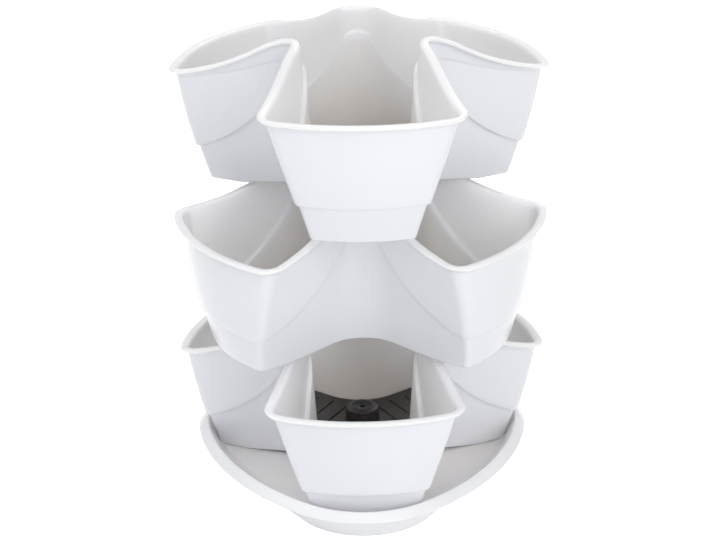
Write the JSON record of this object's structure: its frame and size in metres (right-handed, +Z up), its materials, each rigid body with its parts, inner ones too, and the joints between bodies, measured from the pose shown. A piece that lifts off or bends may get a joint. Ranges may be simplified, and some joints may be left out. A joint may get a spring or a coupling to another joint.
{
  "type": "stacking herb planter",
  "caption": "Stacking herb planter: lobed pots turned on each other over a rounded-triangle saucer, each with a lift-out drain grid and a central hole for a hanging chain.",
  "frame": {"origin": "on the ground under the middle of the saucer, on the axis of the stack", "axes": "+Z up the stack; -Y towards the front lobe of the bottom and top pots"},
  "size_m": [0.3208, 0.3178, 0.4096],
  "materials": {
    "pot_plastic": "white moulded polypropylene, satin",
    "saucer_plastic": "white moulded polypropylene, satin",
    "grid_plastic": "near-black moulded plastic, matt"
  },
  "bodies": {
    "saucer": {"saucer": "saucer_plastic"},
    "bottom_pot": {"bottom_pot": "pot_plastic"},
    "middle_pot": {"middle_pot": "pot_plastic"},
    "top_pot": {"top_pot": "pot_plastic"},
    "bottom_grid": {"bottom_grid": "grid_plastic"},
    "middle_grid": {"middle_grid": "grid_plastic"},
    "top_grid": {"top_grid": "grid_plastic"}
  },
  "joints": [
    {"name": "bottom_pot_lift", "type": "slide", "parent": "saucer", "child": "bottom_pot", "axis": [0, 0, 1], "range_m": [0, 0.15]},
    {"name": "middle_pot_lift", "type": "slide", "parent": "bottom_pot", "child": "middle_pot", "axis": [0, 0, 1], "range_m": [0, 0.15]},
    {"name": "top_pot_lift", "type": "slide", "parent": "middle_pot", "child": "top_pot", "axis": [0, 0, 1], "range_m": [0, 0.15]},
    {"name": "bottom_grid_lift", "type": "slide", "parent": "bottom_pot", "child": "bottom_grid", "axis": [0, 0, 1], "range_m": [0, 0.08]},
    {"name": "middle_grid_lift", "type": "slide", "parent": "middle_pot", "child": "middle_grid", "axis": [0, 0, 1], "range_m": [0, 0.08]},
    {"name": "top_grid_lift", "type": "slide", "parent": "top_pot", "child": "top_grid", "axis": [0, 0, 1], "range_m": [0, 0.18]}
  ]
}
